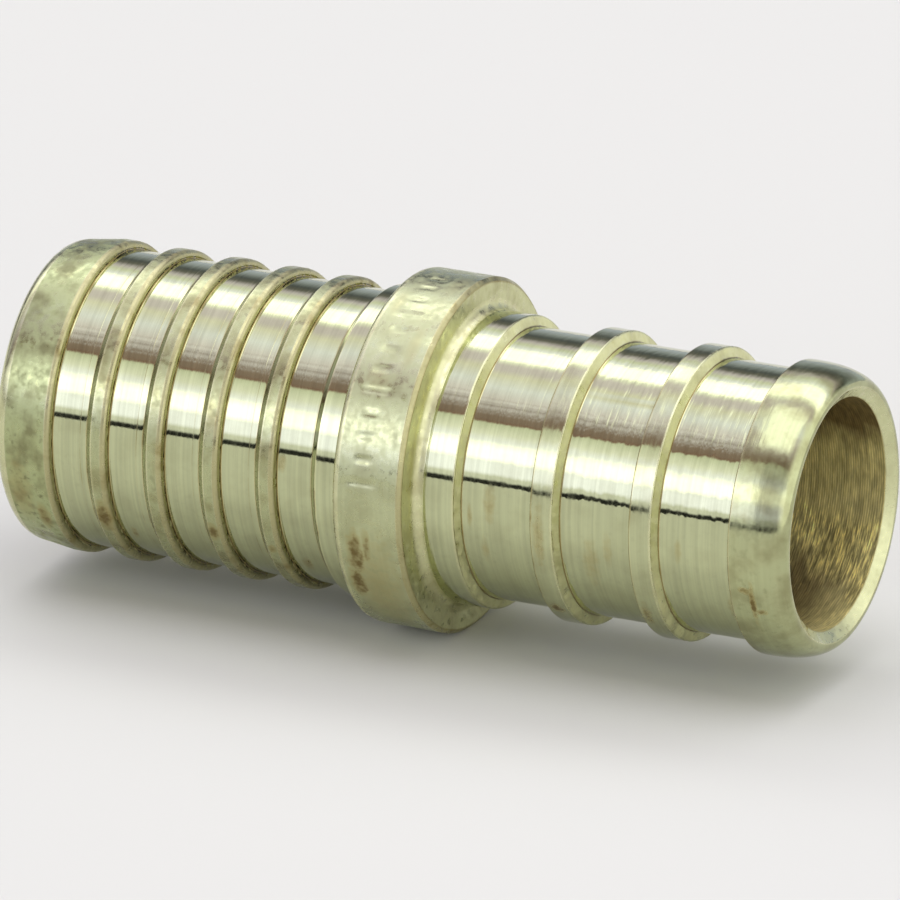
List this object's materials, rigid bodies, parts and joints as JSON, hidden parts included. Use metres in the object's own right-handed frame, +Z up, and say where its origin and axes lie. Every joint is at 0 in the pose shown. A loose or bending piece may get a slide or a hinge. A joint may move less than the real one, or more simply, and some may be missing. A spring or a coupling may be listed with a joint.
{
  "type": "tube insert coupling",
  "caption": "Straight brass insert coupling: barbs for a larger plastic tube, ribs for a smaller one, a collar between them and one bore right through.",
  "frame": {"origin": "on the bore axis, at the middle of the collar", "axes": "+X along the bore towards the small ribbed end; +Z up when it lies on its side"},
  "size_m": [0.0358, 0.0148, 0.0148],
  "materials": {
    "brass": "turned and polished, lightly stained"
  },
  "bodies": {
    "root": {"coupling_body": "brass"}
  },
  "joints": []
}
